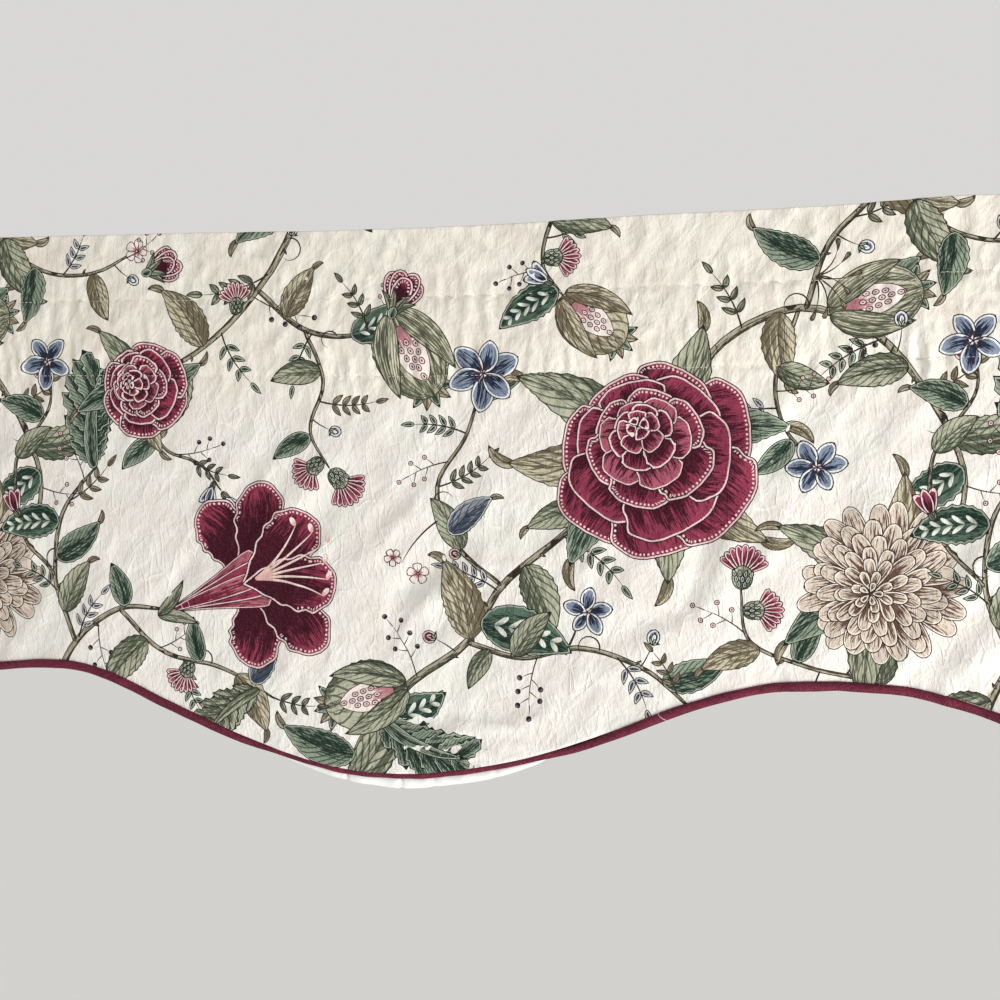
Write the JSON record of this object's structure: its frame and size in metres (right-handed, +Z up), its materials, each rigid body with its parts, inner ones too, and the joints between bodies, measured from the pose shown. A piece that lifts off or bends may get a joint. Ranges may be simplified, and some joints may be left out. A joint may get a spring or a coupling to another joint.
{
  "type": "window valance",
  "caption": "Flat lined window valance: printed cloth with a header and an open rod pocket, and a covered cord along its scalloped lower edge.",
  "frame": {"origin": "middle of the top edge", "axes": "+X along the width to the right as seen from the front, +Y towards the wall, the printed side towards -Y, +Z up"},
  "size_m": [1.32, 0.0234, 0.4204],
  "materials": {
    "printed_cloth": "printed crinkled cotton",
    "lining_cloth": "plain woven cotton",
    "covered_cord": "matt twill"
  },
  "bodies": {
    "root": {"face_cloth": "printed_cloth", "lining": "lining_cloth", "piping": "covered_cord"}
  },
  "joints": []
}
